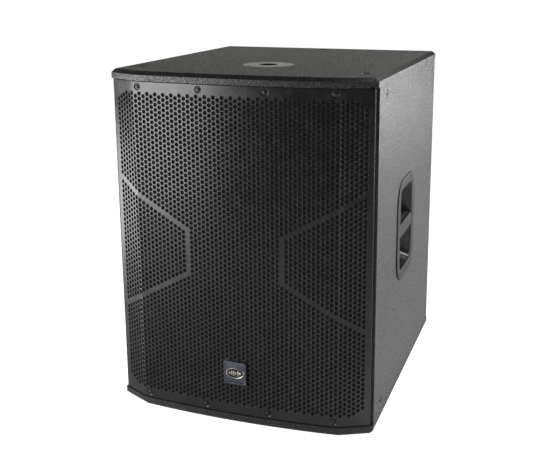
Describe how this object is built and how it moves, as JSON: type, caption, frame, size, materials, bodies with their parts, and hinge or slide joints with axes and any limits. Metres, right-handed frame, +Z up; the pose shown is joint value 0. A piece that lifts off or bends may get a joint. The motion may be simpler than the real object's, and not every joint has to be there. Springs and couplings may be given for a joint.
{
  "type": "powered subwoofer cabinet",
  "caption": "Tall black plywood bass loudspeaker cabinet with a bowed perforated steel front, side bar handles, a pole socket on top and an amplifier module at the back.",
  "frame": {"origin": "centre of the bounding box's underside, on the floor the feet stand on", "axes": "+Z up, -Y out of the perforated front, +X to the cabinet's right seen from the front"},
  "size_m": [0.525, 0.611, 0.681],
  "materials": {
    "painted_board": "coarse black structure paint on birch plywood",
    "bare_board": "unpainted birch plywood",
    "black_board": "matt black painted plywood",
    "grille_steel": "dark grey powder coat",
    "black_screw": "blackened steel",
    "badge_metal": "satin dark grey",
    "emblem_metal": "polished",
    "socket_metal": "silver grey powder coat",
    "zinc_steel": "zinc plated",
    "handle_plastic": "dark grey moulded",
    "foot_rubber": "matt",
    "basket_metal": "black coated cast alloy",
    "dust_foam": "open-cell dark grey foam",
    "gasket_foam": "matt",
    "motor_steel": "black passivated",
    "magnet_ferrite": "matt",
    "cone_paper": "pressed fibre",
    "surround_cloth": "impregnated cloth",
    "spider_cloth": "resin cloth",
    "former_film": "glass fibre film",
    "coil_copper": "enamelled copper",
    "terminal_plastic": "moulded",
    "cable_jacket": "smooth",
    "amp_metal": "black anodised",
    "chassis_steel": "zinc plated sheet",
    "board_laminate": "green solder mask",
    "component_plastic": "moulded",
    "connector_plastic": "moulded",
    "lens_plastic": "translucent green",
    "knob_plastic": "moulded",
    "button_plastic": "moulded"
  },
  "bodies": {
    "cabinet": {"top_panel": "painted_board", "bottom_panel": "painted_board", "side_panel_left": "painted_board", "side_panel_right": "painted_board", "back_panel": "painted_board", "baffle_board": "black_board", "window_brace": "bare_board", "port_wall_left": "bare_board", "port_wall_right": "bare_board", "port_shelves": "bare_board", "grille_rails": "black_board", "grille": "grille_steel", "grille_foam": "dust_foam", "grille_screws": "black_screw", "badge_plate": "badge_metal", "badge_emblem": "emblem_metal", "pole_socket": "socket_metal", "pole_socket_screws": "black_screw", "rigging_inserts": "black_screw", "rigging_screws": "black_screw", "handle_left": "handle_plastic", "handle_right": "handle_plastic", "handle_screws": "black_screw", "foot_front_left": "foot_rubber", "foot_front_right": "foot_rubber", "foot_rear_left": "foot_rubber", "foot_rear_right": "foot_rubber", "foot_screws": "black_screw", "woofer_frame": "basket_metal", "woofer_gasket": "gasket_foam", "magnet_top_plate": "motor_steel", "magnet_ring": "magnet_ferrite", "magnet_yoke": "motor_steel", "woofer_bolts": "black_screw", "woofer_tee_nuts": "zinc_steel", "woofer_terminals": "terminal_plastic", "speaker_cables": "cable_jacket", "amp_plate": "amp_metal", "amp_screws": "black_screw", "amp_chassis": "chassis_steel", "heatsink": "amp_metal", "amp_board": "board_laminate", "board_components": "component_plastic", "signal_inputs": "connector_plastic", "signal_outputs": "connector_plastic", "mains_inlet": "connector_plastic", "status_lenses": "lens_plastic", "control_pots": "zinc_steel", "power_switch_frame": "connector_plastic", "polarity_switch_body": "connector_plastic"},
    "cone_assembly": {"cone": "cone_paper", "dust_cap": "cone_paper", "coil_former": "former_film", "coil_winding": "coil_copper", "surround": "surround_cloth", "spider": "spider_cloth"},
    "level_knob": {"level_knob": "knob_plastic"},
    "crossover_knob": {"crossover_knob": "knob_plastic"},
    "power_rocker": {"power_rocker": "knob_plastic"},
    "polarity_button": {"polarity_button": "button_plastic"}
  },
  "joints": [
    {"name": "cone_travel", "type": "slide", "parent": "cabinet", "child": "cone_assembly", "axis": [0, 1, 0], "range_m": [-0.01, 0.01], "stiffness_N_per_m": 6000, "deforming": ["surround", "spider"]},
    {"name": "level_turn", "type": "hinge", "parent": "cabinet", "child": "level_knob", "pos_m": [0.014, 0.2885, 0.262], "axis": [0, 1, 0], "range_deg": [-150, 150]},
    {"name": "crossover_turn", "type": "hinge", "parent": "cabinet", "child": "crossover_knob", "pos_m": [0.014, 0.2885, 0.214], "axis": [0, 1, 0], "range_deg": [-150, 150]},
    {"name": "power_rock", "type": "hinge", "parent": "cabinet", "child": "power_rocker", "pos_m": [-0.02, 0.2855, 0.13], "axis": [1, 0, 0], "range_deg": [-18, 0]},
    {"name": "polarity_push", "type": "slide", "parent": "cabinet", "child": "polarity_button", "axis": [0, -1, 0], "range_m": [0, 0.003], "stiffness_N_per_m": 300}
  ]
}
